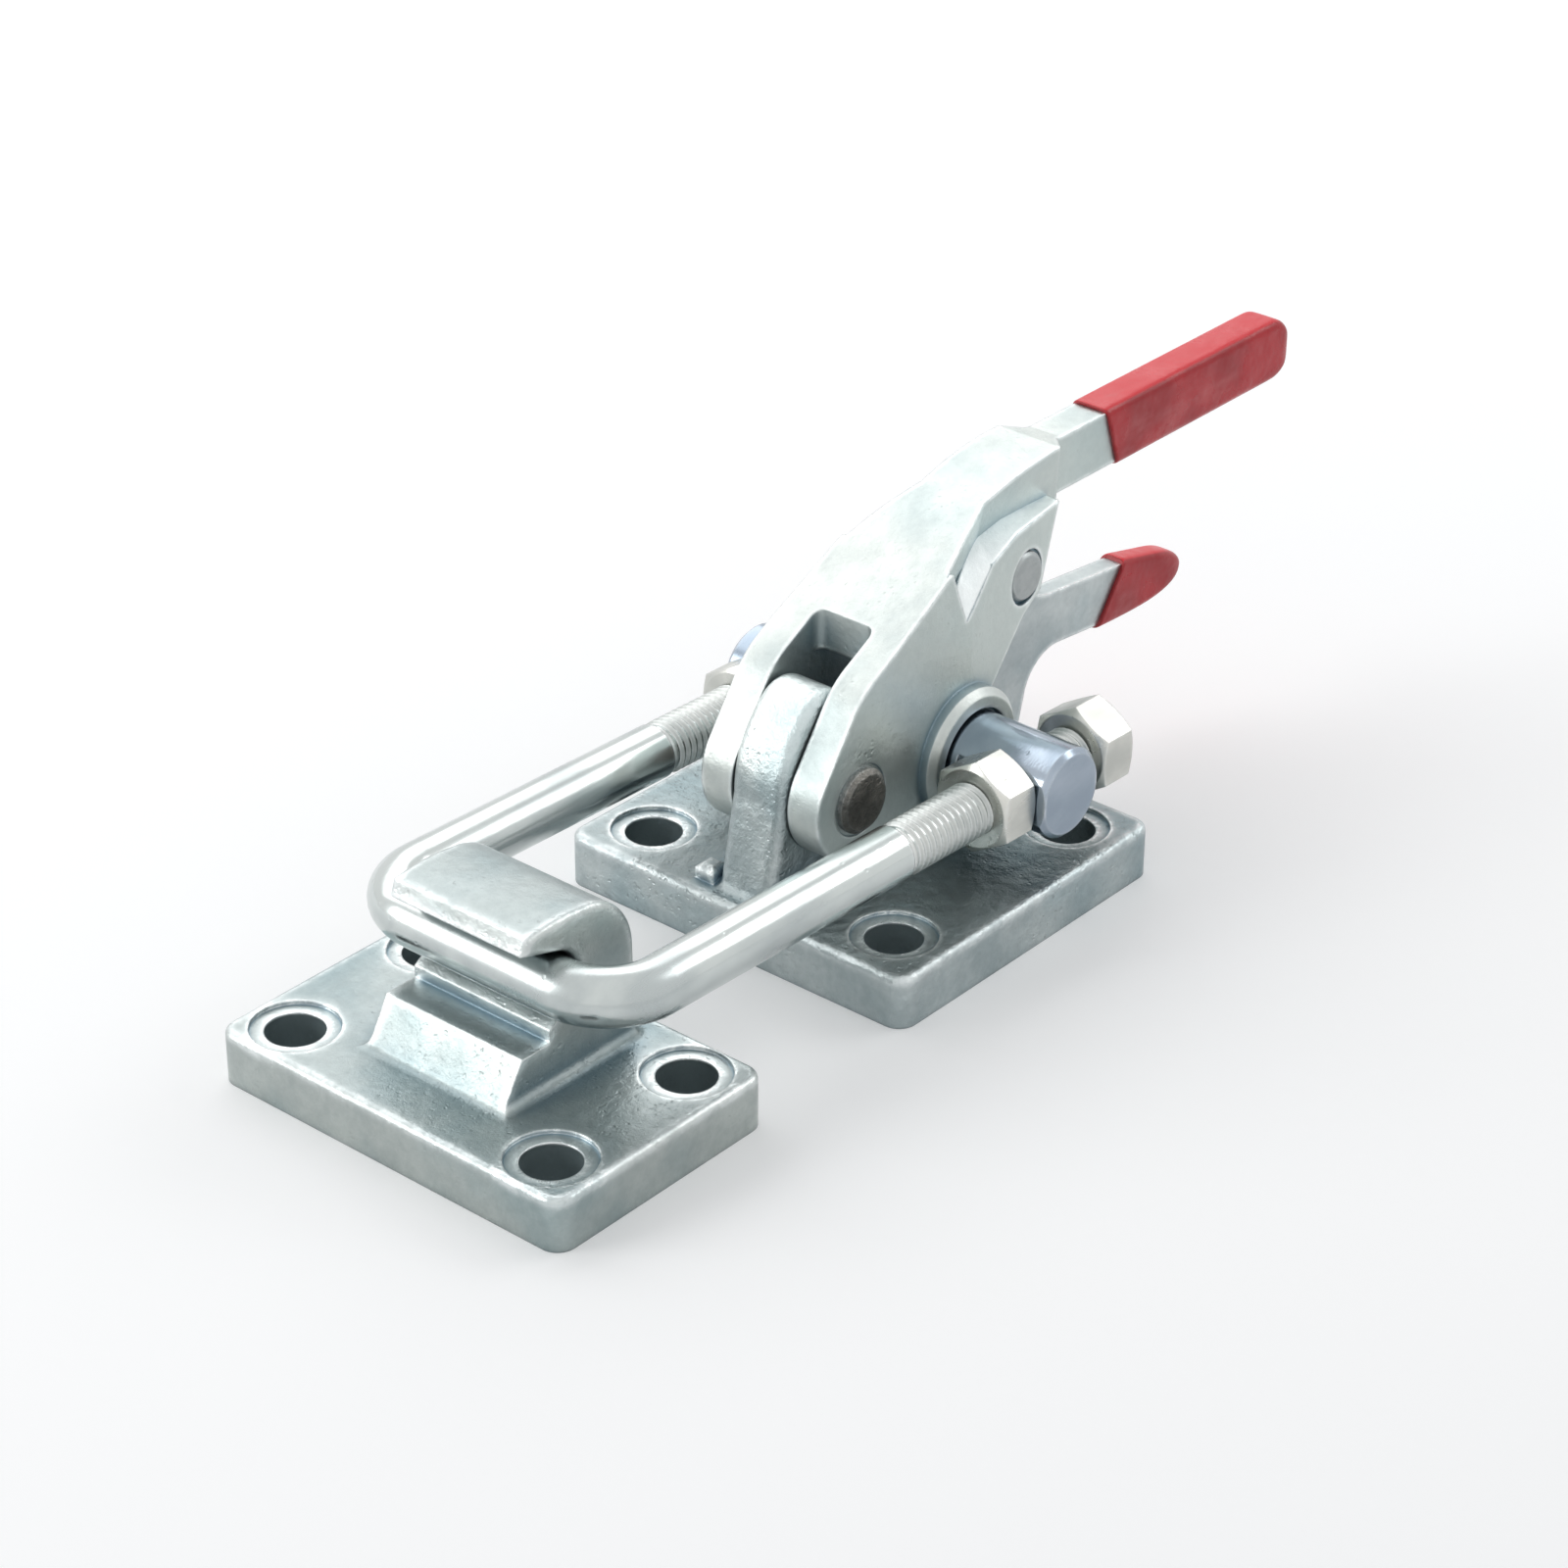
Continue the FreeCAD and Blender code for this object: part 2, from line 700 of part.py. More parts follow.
def handle():
    body = new_body("handle")
    px, pz = PIVOT
    tx, tz = TRUNNION
    eye_x, eye_z = TRIGGER
    top = dim("bar_top")
    end = dim("bar_end")
    shoulder = (10.0, 75.4)
    # The spine: web over the slot, neck and the bar inside the grip
    spine = new_sketch(body, "handle_spine", "XZ_Plane")
    outline(spine, [(-5.5, 67.2327)] + WEB_UNDERSIDE + BAR_TIP
            + [(63.5, top), (57.5, dim("neck_top")), shoulder],
            {6: (BAR_LOW_CORNER, 1), 8: (BAR_TOP_CORNER, 1), 11: (dim("crest_radius"), 1)})
    pad(body, spine, dim("handle_width"))
    waist = dim("waist_width") / 2
    neck = dim("neck_width") / 2
    bar = dim("bar_width") / 2
    outside = HALF_HANDLE + 3
    plan = new_sketch(body, "bar_plan", "XY_Plane")
    for side in (1, -1):
        outline(plan, [
            (57.5, outside * side), (57.5, neck * side), (62.0, bar * side),
            (end + 1, bar * side), (end + 1, outside * side),
        ])
    cut(body, plan, top * 2 + 10)
    # The neck's sides lean inwards on their way down
    sides = new_sketch(body, "neck_sides", "XY_Plane", dim("neck_top") + INSIDE)
    for side in (1, -1):
        outline(sides, [
            (9.0, outside * side), (9.0, (waist + 2) * side), (30.5, (neck + 0.8) * side),
            (57.5, neck * side), (63.0, neck * side), (63.0, outside * side),
        ])
    lean = cut(body, sides, 32.0, "One side")
    lean.setExpression("TaperAngle", f"{dim('neck_lean').text} * 1 deg")
    settle(lean)
    # The cheeks: lobe, trunnion seat and trigger ear in one outline
    lobe = dim("lobe_radius")
    boss = dim("boss_radius")
    cheeks = new_sketch(body, "handle_cheeks", "XZ_Plane")
    outline(cheeks, [
        (px, pz - lobe),
        (tx, tz - boss),
        (tx + boss * cosine(40), tz + boss * sine(40)),
        (eye_x - 1.0, eye_z - 9.0),
        (eye_x + 6.5, eye_z - 5.5),
        (eye_x + 11.2, eye_z + 7.5),
        (eye_x + 13.5, eye_z + 13.2),
        (eye_x - 4.5, eye_z + 12.6),
        (eye_x - 15.5, eye_z + 9.6),
        (17.0, 62.3),
        (11.5, 75.9),
        shoulder,
        (-16.0, 61.7),
        (-23.1, 55.45),
        (px + lobe * cosine(145), pz + lobe * sine(145)),
    ], {1: (boss, 1), 12: (20.0, 1), 14: (lobe, 1)})
    pad(body, cheeks, dim("handle_width"))
    # The outside narrows from the lobes to the waist and on to the ears
    ear = dim("ear_width") / 2
    taper = new_sketch(body, "handle_taper", "XY_Plane")
    for side in (1, -1):
        outline(taper, [
            (-12.0, (HALF_HANDLE + 0.01) * side), (11.5, waist * side),
            (19.0, (waist - 0.3) * side), (58.0, (ear - 0.6) * side),
            (66.0, (ear - 0.6) * side), (66.0, outside * side), (-12.0, outside * side),
        ])
    cut(body, taper, top * 2 + 10)
    bosses = circles(new_sketch(body, "trunnion_boss", "XZ_Plane"), [TRUNNION], boss)
    boss_face = HALF_HANDLE + dim("boss_proud")
    pad(body, bosses, boss_face * 2)
    dress(body, "Chamfer", dim("boss_bevel"),
          lambda edge, middle: on_side(middle, boss_face.value))
    # The slot for the lug, then the narrower gap between the ears
    slot = new_sketch(body, "lug_slot", "XZ_Plane")
    outline(slot, [(-45.0, 95.0), (-45.0, 5.0), (28.0, 5.0), WEB_UNDERSIDE[2],
                   WEB_UNDERSIDE[1], WEB_UNDERSIDE[0], (-5.5, 95.0)])
    cut(body, slot, dim("slot_width"))
    inside = dim("slot_width").value / 2
    dress(body, "Fillet", dim("window_corner"),
          lambda edge, middle: along(edge, 2) and on_side(middle, inside)
          and abs(middle.x + 5.5) < 0.01)
    gap = new_sketch(body, "ear_gap", "XZ_Plane")
    outline(gap, [(28.0, 5.0), (75.0, 5.0), (75.0, BAR_BOTTOM), WEB_UNDERSIDE[4],
                  WEB_UNDERSIDE[3], WEB_UNDERSIDE[2]])
    cut(body, gap, dim("ear_slot"))
    # Spot faces under the heads of both pins, a relief round the trunnion, then the bores
    for name, spot, half, across in (
            ("pivot", PIVOT, HALF_HANDLE - dim("pin_seat"), dim("pin_seat_dia")),
            ("trunnion", TRUNNION, boss_face - 2,
             dim("trunnion_dia") + dim("boss_relief") * 2),
            ("trigger", TRIGGER, dim("trigger_seats_apart") / 2, dim("trigger_seat_dia"))):
        for side, face, flip in (("near", half, True), ("far", -half, False)):
            seat = new_sketch(body, f"{name}_{side}_seat", "XZ_Plane", face)
            circles(seat, [spot], across / 2)
            cut(body, seat, 4, "One side", flip)
    for name, spot, radius in (
            ("pivot_bore", PIVOT, dim("pin_dia") / 2 + dim("press_gap")),
            ("trunnion_bore", TRUNNION, dim("trunnion_dia") / 2 + dim("running_gap")),
            ("trigger_bore", TRIGGER, dim("trigger_pin_dia") / 2 + dim("press_gap"))):
        bore = circles(new_sketch(body, name, "XZ_Plane"), [spot], radius)
        cut(body, bore, dim("handle_width") * 2)
    return body


def handle_grip():
    """Dipped sleeve over the bar, closed and rounded at its end."""
    body = new_body("handle_grip")
    wall = dim("grip_wall")
    start = dim("grip_start")
    low = BAR_BOTTOM - wall
    high = dim("bar_top") + wall
    end = dim("bar_end") + wall * 2
    low_corner = dim("grip_low_corner")
    top_corner = dim("grip_top_corner")
    side = new_sketch(body, "grip_side", "XZ_Plane")
    outline(side, [
        (start + dim("grip_slant"), low), (end - low_corner, low), (end, low + low_corner),
        (end, high - top_corner), (end - top_corner, high), (start, high),
    ], {1: (low_corner, 1), 3: (top_corner, 1)})
    half = dim("bar_width") / 2 + wall
    pad(body, side, half * 2)
    dress(body, "Fillet", dim("grip_edge"),
          lambda edge, middle: on_side(middle, half.value)
          and middle.x > start.value + 6)
    core = new_sketch(body, "grip_core", "XZ_Plane")
    outline(core, [(start - 2, BAR_BOTTOM)] + BAR_TIP + [(start - 2, dim("bar_top"))],
            {1: (BAR_LOW_CORNER, 1), 3: (BAR_TOP_CORNER, 1)})
    cut(body, core, dim("bar_width"))
    return body


def trigger_lever():
    body = new_body("trigger_lever")
    eye_x, eye_z = TRIGGER
    eye = dim("trigger_eye")
    post_end = dim("lock_ahead") + dim("lock_post")
    tooth_tip = post_end + dim("seat_gap") * 2
    front = post_end + dim("lock_lip") + dim("seat_gap") * 2
    tooth_top = dim("lock_height") - dim("lock_lip_thick") - dim("seat_gap")
    foot = PLATE_TOP + 3
    tip_z = tooth_top - 2.4
    side = new_sketch(body, "lever_side", "XZ_Plane")
    points = [
        (eye_x + eye * cosine(-20), eye_z + eye * sine(-20)),
        (eye_x, eye_z + eye),
        (eye_x - eye, eye_z),
        (front - 4.5, 45.0),
        (front - 0.6, dim("lock_height") + 1.5),
        (front, tooth_top),
        (tooth_tip, tooth_top),
        (tooth_tip, tip_z),
        (front + 1.8, foot),
        (53.5, foot),
        (56.2, 25.5),
        TAIL_ROOT[1],
        TAIL_BENDS[1],
    ] + TAIL_END[::-1] + [TAIL_BENDS[0], TAIL_ROOT[0], (57.0, 50.5)]
    outline(side, points, {
        0: (eye, 1), 1: (eye, 1), 10: (11.5, -1), 14: (dim("tail_tip"), 1), 18: (12.0, -1)})
    pad(body, side, dim("trigger_thick"))
    pivot = circles(new_sketch(body, "lever_bore", "XZ_Plane"), [TRIGGER],
                    dim("trigger_pin_dia") / 2 + dim("running_gap"))
    cut(body, pivot, dim("trigger_thick") * 2)
    pin = circles(new_sketch(body, "lever_pin_hole", "XZ_Plane"),
                  [(eye_x + dim("spring_pin_ahead"), eye_z - dim("spring_pin_drop"))],
                  dim("spring_pin_dia") / 2 + dim("press_gap"))
    cut(body, pin, dim("trigger_thick") * 2)
    return body


def trigger_grip():
    """Dipped sleeve over the trigger's tail."""
    body = new_body("trigger_grip")
    wall = dim("grip_wall")
    top, tip_top, tip_low, low = TAIL_END
    side = new_sketch(body, "trigger_grip_side", "XZ_Plane")
    outline(side, [
        (TAIL_BENDS[1][0], TAIL_BENDS[1][1] - wall),
        (low[0], low[1] - wall),
        (tip_low[0] + wall, tip_low[1]),
        (tip_top[0] + wall, tip_top[1]),
        (top[0], top[1] + wall),
        (TAIL_BENDS[0][0] + 0.6, TAIL_BENDS[0][1] + wall),
    ], {2: (dim("tail_tip") + wall, 1)})
    half = HALF_LEVER + wall
    pad(body, side, half * 2)
    dress(body, "Fillet", dim("grip_edge"),
          lambda edge, middle: on_side(middle, half.value)
          and middle.x > TAIL_BENDS[0][0])
    core = new_sketch(body, "trigger_grip_core", "XZ_Plane")
    outline(core, [TAIL_ROOT[1], TAIL_BENDS[1]] + TAIL_END[::-1]
            + [TAIL_BENDS[0], TAIL_ROOT[0]], {3: (dim("tail_tip"), 1)})
    cut(body, core, dim("trigger_thick"))
    return body


def trigger_spring():
    """Torsion spring: two turns round the trigger's pin and a straight leg at each end."""
    body = new_body("trigger_spring")
    wire = dim("wire_dia") / 2
    radius = dim("coil_dia") / 2
    start = HALF_LEVER + dim("side_gap") + wire
    finish = start + dim("coil_pitch") * dim("coil_turns")
    profile = circles(new_sketch(body, "coil_wire", "XY_Plane"), [(radius, -start)], wire)
    coil = body.newObject("PartDesign::AdditiveHelix", "coil")
    coil.Profile = profile
    coil.ReferenceAxis = (profile, ["V_Axis"])
    coil.Mode = "pitch-turns-angle"
    coil.setExpression("Pitch", dim("coil_pitch").text)
    coil.setExpression("Turns", dim("coil_turns").text)
    coil.Angle = 0
    coil.Growth = 0
    coil.Reversed = True
    settle(coil)
    for name, height, length, flip in (("long_leg", start, dim("long_leg"), True),
                                       ("short_leg", finish, dim("short_leg"), False)):
        leg = circles(new_sketch(body, name, "XY_Plane"), [(radius, -height)], wire)
        pad(body, leg, length, "One side", flip)
    place(body, TRIGGER, -dim("coil_turn"))
    return body


def spring_pin():
    """Small pin pressed into the trigger; the spring's long leg rests on it."""
    body = new_body("spring_pin")
    spot = (TRIGGER[0] + dim("spring_pin_ahead"), TRIGGER[1] - dim("spring_pin_drop"))
    shank = new_sketch(body, "spring_pin_round", "XZ_Plane", -HALF_LEVER)
    circles(shank, [CENTRE], dim("spring_pin_dia") / 2)
    reach = dim("trigger_thick") + dim("side_gap") * 2 + dim("wire_dia") + 0.8
    pad(body, shank, reach, "One side")
    place(body, spot)
    return body


PIECES = [
    base_plate(),
    catch_plate(),
    tube("pivot_bushing", PIVOT, dim("pin_dia") / 2 + dim("running_gap"),
         dim("pin_dia") / 2 + dim("running_gap") + dim("bush_wall"),
         -dim("lug_width") / 2, dim("lug_width")),
    handle(),
    handle_grip(),
    rivet("main_pin", PIVOT, dim("pin_dia") / 2, dim("pin_head_dia") / 2,
          dim("pin_head"), HALF_HANDLE - dim("pin_seat")),
    rivet("trigger_pin", TRIGGER, dim("trigger_pin_dia") / 2,
          dim("trigger_pin_head_dia") / 2, dim("trigger_pin_head"),
          dim("trigger_seats_apart") / 2),
    tube("trigger_spacer", TRIGGER, dim("trigger_pin_dia") / 2 + dim("press_gap"),
         dim("spacer_dia") / 2, HALF_LEVER + dim("side_gap"),
         HALF_SLOT - HALF_LEVER - dim("side_gap") * 1.5),
    trigger_spring(),
    trunnion(),
    u_bolt(),
    nut("front_nut_near", -1, -1),
    nut("front_nut_far", -1, 1),
    nut("back_nut_near", 1, -1),
    nut("back_nut_far", 1, 1),
    trigger_lever(),
    trigger_grip(),
    spring_pin(),
]

DOC.recompute()
for item in DOC.Objects:
    if "Invalid" in item.State or "Error" in item.State:
        raise RuntimeError(f"{item.Label} failed: {item.State}")
os.makedirs("parts", exist_ok=True)
for piece in PIECES:
    if piece.Shape.isNull() or not piece.Shape.isValid():
        raise RuntimeError(f"{piece.Label} has no valid shape")
    piece.Shape.exportStep(f"parts/{piece.Label}.step")
    box = piece.Shape.BoundBox
    print(f"{piece.Label}: {len(piece.Shape.Solids)} solid, {piece.Shape.Volume / 1000:.2f} cm3,"
          f" X {box.XMin:.1f} {box.XMax:.1f}, Y {box.YMin:.1f} {box.YMax:.1f},"
          f" Z {box.ZMin:.1f} {box.ZMax:.1f}")
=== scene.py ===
"""Looks of the over centre toggle latch: threads, zinc finishes, red dipped grips, studio."""
from math import cos, pi, radians, sin

import bmesh
import bpy
from mathutils import Matrix, Vector


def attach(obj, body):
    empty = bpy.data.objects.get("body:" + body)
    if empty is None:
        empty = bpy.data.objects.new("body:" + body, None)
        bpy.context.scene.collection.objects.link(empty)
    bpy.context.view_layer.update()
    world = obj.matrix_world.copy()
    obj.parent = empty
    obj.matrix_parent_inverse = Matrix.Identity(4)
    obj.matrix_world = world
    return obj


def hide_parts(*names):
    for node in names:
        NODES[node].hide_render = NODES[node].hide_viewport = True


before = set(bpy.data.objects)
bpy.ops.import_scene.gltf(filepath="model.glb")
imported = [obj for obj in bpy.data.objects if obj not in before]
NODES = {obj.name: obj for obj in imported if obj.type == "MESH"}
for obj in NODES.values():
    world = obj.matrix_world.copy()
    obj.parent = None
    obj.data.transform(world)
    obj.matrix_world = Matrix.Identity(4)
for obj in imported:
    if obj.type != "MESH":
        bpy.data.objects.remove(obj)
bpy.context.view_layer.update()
MM = 0.001

# Places and sizes that the part's source has too
PLATE_TOP = 12.5 * MM
BOLT_HOLE = 6.5 * MM
TRUNNION = Vector((16.0, 0, 31.0)) * MM
ARM_OFFSET = 33.8 * MM
ARM_END = 28.5 * MM
THREAD_REACH = 47.0 * MM
THREAD_ROOT = 5.5 * MM
THREAD_CREST = 6.35 * MM
THREAD_PITCH = 1.95 * MM
DRAW_TILT = radians(1.87)

# Colours of every casting, of every drawn bar and of the dip
# Painted shade in corners and in the piece's own recesses
CORNER_SHADE = (0.11, 0.14, 0.16, 1)
RECESS_SHADE_BLUE = (0.14, 0.24, 0.31, 1)
PIT_GREY = (0.20, 0.22, 0.23, 1)
HOLE_GREY = (0.20, 0.25, 0.26, 1)
BLUE_CLOUD = (0.68, 0.78, 0.82, 1)
GREY_SPECK = (0.66, 0.69, 0.70, 1)
# Painted highlight on worn cast edges
WORN_CAST_HIGHLIGHT = (0.90, 0.94, 0.94, 1)
# Painted shade in a drawn bar's corners
BAR_CORNER_SHADE = (0.13, 0.15, 0.16, 1)
# Painted highlight on worn bar edges
WORN_BAR_HIGHLIGHT = (0.94, 0.96, 0.96, 1)
DEEP_RED = (0.33, 0.007, 0.013, 1)
CLEAN_RED = (0.46, 0.012, 0.020, 1)
# Painted light on the dip's upturned faces
LIT_TOP_RED = (0.72, 0.026, 0.038, 1)
# Painted sheen in pale streaky patches
RED_SHEEN_PAINT = (0.62, 0.20, 0.20, 1)
# Painted highlight on the dip's worn edges
WORN_RED_HIGHLIGHT = (0.78, 0.22, 0.22, 1)

# Colours of the studio
WHITE = (1, 1, 1, 1)
BLACK = (0, 0, 0, 1)
SKY_GREY = (0.50, 0.51, 0.52, 1)
FLOOR_GREY = (0.93, 0.93, 0.93, 1)
FLOOR_LIFT = (0.13, 0.13, 0.13, 1)


# Nodes of a material or a group
def add(tree, kind, inputs=None, **settings):
    """One shader node: its settings, then values or links for its inputs."""
    made = tree.nodes.new("ShaderNode" + kind)
    for name, value in settings.items():
        setattr(made, name, value)
    for name, value in (inputs or {}).items():
        if isinstance(value, bpy.types.NodeSocket):
            tree.links.new(value, made.inputs[name])
        else:
            made.inputs[name].default_value = value
    return made


def maths(tree, operation, first, second=0.5, third=None):
    values = {0: first, 1: second}
    if third is not None:
        values[2] = third
    return add(tree, "Math", values, operation=operation).outputs[0]


def between(tree, value, low, high, to_low=0.0, to_high=1.0):
    """A value brought smoothly from one range to another."""
    return add(tree, "MapRange", {
        "Value": value, "From Min": low, "From Max": high,
        "To Min": to_low, "To Max": to_high}, interpolation_type="SMOOTHSTEP").outputs["Result"]


def blend_colours(tree, amount, first, second, mode="MIX"):
    mixed = add(tree, "Mix", {0: amount, 6: first, 7: second},
                data_type="RGBA", blend_type=mode)
    return mixed.outputs[2]


def start_group(name, inputs, outputs):
    """An empty node group with named float inputs and named outputs."""
    tree = bpy.data.node_groups.new(name, "ShaderNodeTree")
    for label, value in inputs.items():
        socket = tree.interface.new_socket(label, in_out="INPUT", socket_type="NodeSocketFloat")
        socket.default_value = value
    for label, kind in outputs.items():
        tree.interface.new_socket(label, in_out="OUTPUT", socket_type="NodeSocket" + kind)
    return tree, tree.nodes.new("NodeGroupInput"), tree.nodes.new("NodeGroupOutput")


def object_place(tree, stretch=(1, 1, 1)):
    """The place on the piece, which stays with it when it moves."""
    place = add(tree, "TexCoord").outputs["Object"]
    return add(tree, "Mapping", {"Vector": place, "Scale": stretch}).outputs["Vector"]


def edge_wear_and_highlight_group():
    """Rounds the edges a little and gives a mask of worn edges, which the materials lighten with a
    painted highlight.
    """
    tree, given, out = start_group("Edge wear and highlight", {"Radius": 0.6 * MM, "Reach": 1.4 * MM},
                                   {"Wear and highlight": "Float", "Normal": "Vector"})
    soft = add(tree, "Bevel", {"Radius": given.outputs["Radius"]}, samples=6)
    # Looking inwards, a short way off is outside again only beside a convex edge
    inward = add(tree, "AmbientOcclusion", {"Distance": given.outputs["Reach"]},
                 samples=6, inside=True, only_local=True).outputs["AO"]
    edge = between(tree, inward, 0.93, 0.60)
    patchy = add(tree, "TexNoise", {"Vector": object_place(tree), "Scale": 240.0,
                                    "Detail": 4.0, "Roughness": 0.6}).outputs["Fac"]
    broken = between(tree, patchy, 0.40, 0.58)
    kept = maths(tree, "MULTIPLY_ADD", broken, 0.5, 0.5)
    tree.links.new(maths(tree, "MULTIPLY", edge, kept), out.inputs["Wear and highlight"])
    tree.links.new(soft.outputs["Normal"], out.inputs["Normal"])
    return tree


def cast_skin_group():
    """Pits, dimples and satin grain of a cast surface under its plating."""
    tree, given, out = start_group("Cast skin", {"Pits": 1.0, "Lumps": 0.5},
                                   {"Height": "Float", "Pit": "Float", "Cloud": "Float"})
    place = object_place(tree)
    cloud = add(tree, "TexNoise", {"Vector": place, "Scale": 42.0, "Detail": 6.0,
                                   "Roughness": 0.62}).outputs["Fac"]
    warp = add(tree, "TexNoise", {"Vector": place, "Scale": 300.0, "Detail": 2.0}).outputs["Color"]
    # The cells are bent out of shape, so that the pits aren't round
    bent = add(tree, "VectorMath", {0: warp, 1: (0.5, 0.5, 0.5)},
               operation="SUBTRACT").outputs[0]
    bent = add(tree, "VectorMath", {0: bent, "Scale": 2.6 * MM}, operation="SCALE").outputs[0]
    bent = add(tree, "VectorMath", {0: bent, 1: place}, operation="ADD").outputs[0]
    cells = add(tree, "TexVoronoi", {"Vector": bent, "Scale": 900.0}).outputs
    chosen = between(tree, add(tree, "SeparateColor", {"Color": cells["Color"]}).outputs[0],
                     0.45, 1.0)
    hole = maths(tree, "MULTIPLY", between(tree, cells["Distance"], 0.55, 0.05), chosen)
    crowd = between(tree, cloud, 0.42, 0.62)
    pit = maths(tree, "MULTIPLY", maths(tree, "MULTIPLY", hole, crowd), given.outputs["Pits"])
    dimple = add(tree, "TexNoise", {"Vector": place, "Scale": 330.0, "Detail": 4.0,
                                    "Roughness": 0.6}).outputs["Fac"]
    lump = add(tree, "TexNoise", {"Vector": place, "Scale": 115.0, "Detail": 2.0}).outputs["Fac"]
    grain = add(tree, "TexNoise", {"Vector": place, "Scale": 1900.0, "Detail": 3.0,
                                   "Roughness": 0.7}).outputs["Fac"]
    height = maths(tree, "MULTIPLY_ADD", dimple, 0.7, maths(tree, "MULTIPLY", pit, -0.8))
    height = maths(tree, "MULTIPLY_ADD", lump, given.outputs["Lumps"], height)
    height = maths(tree, "MULTIPLY_ADD", grain, 0.22, height)
    tree.links.new(height, out.inputs["Height"])
    tree.links.new(pit, out.inputs["Pit"])
    tree.links.new(cloud, out.inputs["Cloud"])
    return tree


def crevice_group():
    """Masks for painted shade: in corners, and in the piece's own deep recesses."""
    tree, _, out = start_group("Crevice", {}, {"Shade": "Float", "Recess": "Float"})
    for name, reach, alone, open_end, shut_end in (("Shade", 3 * MM, False, 0.72, 0.22),
                                                   ("Recess", 18 * MM, True, 0.82, 0.45)):
        open_sky = add(tree, "AmbientOcclusion", {"Distance": reach},
                       samples=6, only_local=alone).outputs["AO"]
        tree.links.new(between(tree, open_sky, open_end, shut_end), out.inputs[name])
    return tree


def bolt_holes_group():
    """The darker, rougher insides of a plate's four bolt holes, with the hole pattern's middle and
    halves.
    """
    tree, given, out = start_group(
        "Bolt holes", {"Middle": 0.0, "Half along": 30 * MM, "Half across": 30 * MM},
        {"Inside": "Float"})
    place = add(tree, "SeparateXYZ", {0: add(tree, "TexCoord").outputs["Object"]}).outputs
    along = maths(tree, "SUBTRACT", place["X"], given.outputs["Middle"])
    along = maths(tree, "SUBTRACT", maths(tree, "ABSOLUTE", along), given.outputs["Half along"])
    across = maths(tree, "SUBTRACT", maths(tree, "ABSOLUTE", place["Y"]),
                   given.outputs["Half across"])
    away = maths(tree, "SQRT", maths(tree, "ADD", maths(tree, "MULTIPLY", along, along),
                                     maths(tree, "MULTIPLY", across, across)))
    ring = between(tree, away, BOLT_HOLE + 0.25 * MM, BOLT_HOLE + 0.05 * MM)
    below = between(tree, place["Z"], PLATE_TOP - 1.0 * MM, PLATE_TOP - 1.6 * MM)
    tree.links.new(maths(tree, "MULTIPLY", ring, below), out.inputs["Inside"])
    return tree


def drawn_rod_group():
    """Fine lengthwise streaks and soft bands of a drawn and plated rod."""
    tree, _, out = start_group("Drawn rod", {},
                               {"Height": "Float", "Streak": "Float", "Cloud": "Float"})
    streak = add(tree, "TexNoise", {"Vector": object_place(tree, (0.06, 1, 1)), "Scale": 1700.0,
                                    "Detail": 3.0}).outputs["Fac"]
    cloud = add(tree, "TexNoise", {"Vector": object_place(tree, (0.5, 1, 1)), "Scale": 90.0,
                                   "Detail": 4.0}).outputs["Fac"]
    nick = add(tree, "TexVoronoi", {"Vector": object_place(tree, (0.55, 1, 1)),
                                    "Scale": 260.0}).outputs["Distance"]
    height = maths(tree, "MULTIPLY_ADD", streak, 0.25,
                   maths(tree, "MULTIPLY", between(tree, nick, 0.13, 0.05), -0.5))
    tree.links.new(height, out.inputs["Height"])
    tree.links.new(streak, out.inputs["Streak"])
    tree.links.new(cloud, out.inputs["Cloud"])
    return tree


EDGE_WEAR_AND_HIGHLIGHT = edge_wear_and_highlight_group()
CAST_SKIN = cast_skin_group()
CREVICE = crevice_group()
BOLT_HOLES = bolt_holes_group()
DRAWN_ROD = drawn_rod_group()


def place_group(tree, group, **inputs):
    made = tree.nodes.new("ShaderNodeGroup")
    made.node_tree = group
    for name, value in inputs.items():
        made.inputs[name].default_value = value
    return made.outputs


def start_material(name):
    """A material with a Principled shader already joined to its output."""
    made = bpy.data.materials.new(name)
    made.use_nodes = True
    made.node_tree.nodes.clear()
    tree = made.node_tree
    shader = add(tree, "BsdfPrincipled")
    out = add(tree, "OutputMaterial")
    tree.links.new(shader.outputs["BSDF"], out.inputs["Surface"])
    return made, tree, shader.inputs


def rough_normal(tree, height, depth, normal):
    return add(tree, "Bump", {"Height": height, "Distance": depth, "Normal": normal,
                              "Strength": 1.0}).outputs["Normal"]


def turned_to(tree, axis):
    """1 on faces that look along X, Y or Z (0, 1 or 2) or against it, 0 on the others."""
    # The piece's own normal, so that the mask stays put when the piece turns
    normal = add(tree, "TexCoord").outputs["Normal"]
    part = add(tree, "SeparateXYZ", {0: normal}).outputs[axis]
    return between(tree, maths(tree, "ABSOLUTE", part), 0.72, 0.93)


